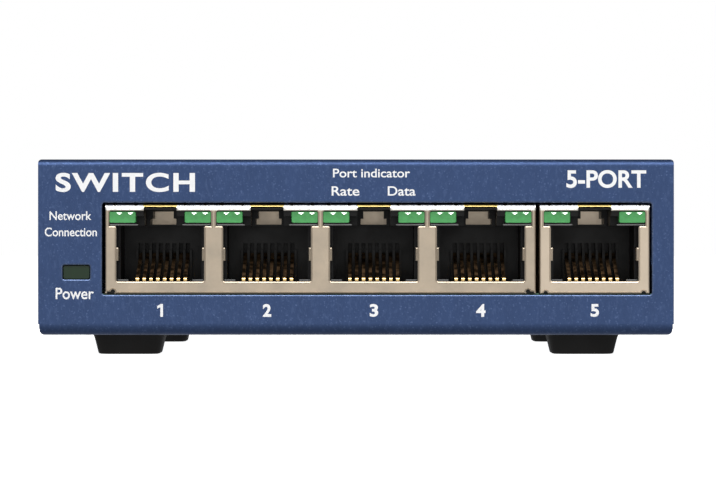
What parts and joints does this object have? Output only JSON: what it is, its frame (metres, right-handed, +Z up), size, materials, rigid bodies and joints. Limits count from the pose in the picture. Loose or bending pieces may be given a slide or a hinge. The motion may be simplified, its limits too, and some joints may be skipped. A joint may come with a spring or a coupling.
{
  "type": "desktop network switch",
  "caption": "Desktop network switch in a folded blue metal case with a row of modular jacks in front, indicator lamps, a power inlet behind and rubber feet.",
  "frame": {"origin": "under the centre of the case, on the plane that the feet stand on", "axes": "+X to the right as the ports are faced, -Y to the front where the ports are, +Z up"},
  "size_m": [0.094, 0.102, 0.029],
  "materials": {
    "case_paint": "fine wrinkle powder coat with metallic flake",
    "screw_paint": "satin",
    "foot_rubber": "matt",
    "board_laminate": "satin solder mask",
    "insulator_film": "satin film",
    "bright_steel": "bright plated",
    "jack_plating": "satin nickel plating",
    "jack_plastic": "semi-gloss",
    "contact_gold": "gold plated",
    "port_led": "translucent green lens, unlit",
    "light_pipe": "dark translucent green",
    "led_body": "translucent",
    "inlet_plastic": "matt",
    "chip_resin": "matt moulding resin",
    "thermal_pad": "matt silicone",
    "sink_aluminium": "extruded",
    "ferrite": "matt",
    "capacitor_sleeve": "printed sleeve without text",
    "ceramic": "matt ceramic",
    "label_film": "blank satin label"
  },
  "bodies": {
    "case": {"chassis_tray": "case_paint", "top_cover": "case_paint", "cover_screws": "screw_paint", "foot_front_left": "foot_rubber", "foot_front_right": "foot_rubber", "foot_rear_left": "foot_rubber", "foot_rear_right": "foot_rubber", "pcb": "board_laminate", "insulator_sheet": "insulator_film", "board_standoffs": "bright_steel", "board_screws": "bright_steel", "gang_jack_shield": "jack_plating", "gang_jack_housing": "jack_plastic", "single_jack_shield": "jack_plating", "single_jack_housing": "jack_plastic", "port_1_pins": "contact_gold", "port_2_pins": "contact_gold", "port_3_pins": "contact_gold", "port_4_pins": "contact_gold", "port_5_pins": "contact_gold", "port_1_leds": "port_led", "port_2_leds": "port_led", "port_3_leds": "port_led", "port_4_leds": "port_led", "port_5_leds": "port_led", "power_light_pipe": "light_pipe", "power_led": "led_body", "dc_jack_housing": "inlet_plastic", "dc_jack_pin": "bright_steel", "dc_jack_spring": "bright_steel", "switch_chip": "chip_resin", "thermal_pad": "thermal_pad", "heat_sink": "sink_aluminium", "magnetics_1": "chip_resin", "magnetics_2": "chip_resin", "magnetics_3": "chip_resin", "magnetics_4": "chip_resin", "magnetics_5": "chip_resin", "crystal": "bright_steel", "inductor": "ferrite", "capacitors": "capacitor_sleeve", "regulator_chip": "chip_resin", "memory_chip": "chip_resin", "chip_parts": "ceramic", "rating_label": "label_film"},
    "port_1_wires": {"port_1_contacts": "contact_gold"},
    "port_2_wires": {"port_2_contacts": "contact_gold"},
    "port_3_wires": {"port_3_contacts": "contact_gold"},
    "port_4_wires": {"port_4_contacts": "contact_gold"},
    "port_5_wires": {"port_5_contacts": "contact_gold"}
  },
  "joints": [
    {"name": "port_1_wire_spring", "type": "hinge", "parent": "case", "child": "port_1_wires", "pos_m": [-0.02895, -0.047, 0.01105], "axis": [-1, 0, 0], "range_deg": [0, 9], "stiffness_Nm_per_rad": 0.5},
    {"name": "port_2_wire_spring", "type": "hinge", "parent": "case", "child": "port_2_wires", "pos_m": [-0.01315, -0.047, 0.01105], "axis": [-1, 0, 0], "range_deg": [0, 9], "stiffness_Nm_per_rad": 0.5},
    {"name": "port_3_wire_spring", "type": "hinge", "parent": "case", "child": "port_3_wires", "pos_m": [0.00265, -0.047, 0.01105], "axis": [-1, 0, 0], "range_deg": [0, 9], "stiffness_Nm_per_rad": 0.5},
    {"name": "port_4_wire_spring", "type": "hinge", "parent": "case", "child": "port_4_wires", "pos_m": [0.01845, -0.047, 0.01105], "axis": [-1, 0, 0], "range_deg": [0, 9], "stiffness_Nm_per_rad": 0.5},
    {"name": "port_5_wire_spring", "type": "hinge", "parent": "case", "child": "port_5_wires", "pos_m": [0.0353, -0.047, 0.01105], "axis": [-1, 0, 0], "range_deg": [0, 9], "stiffness_Nm_per_rad": 0.5}
  ]
}
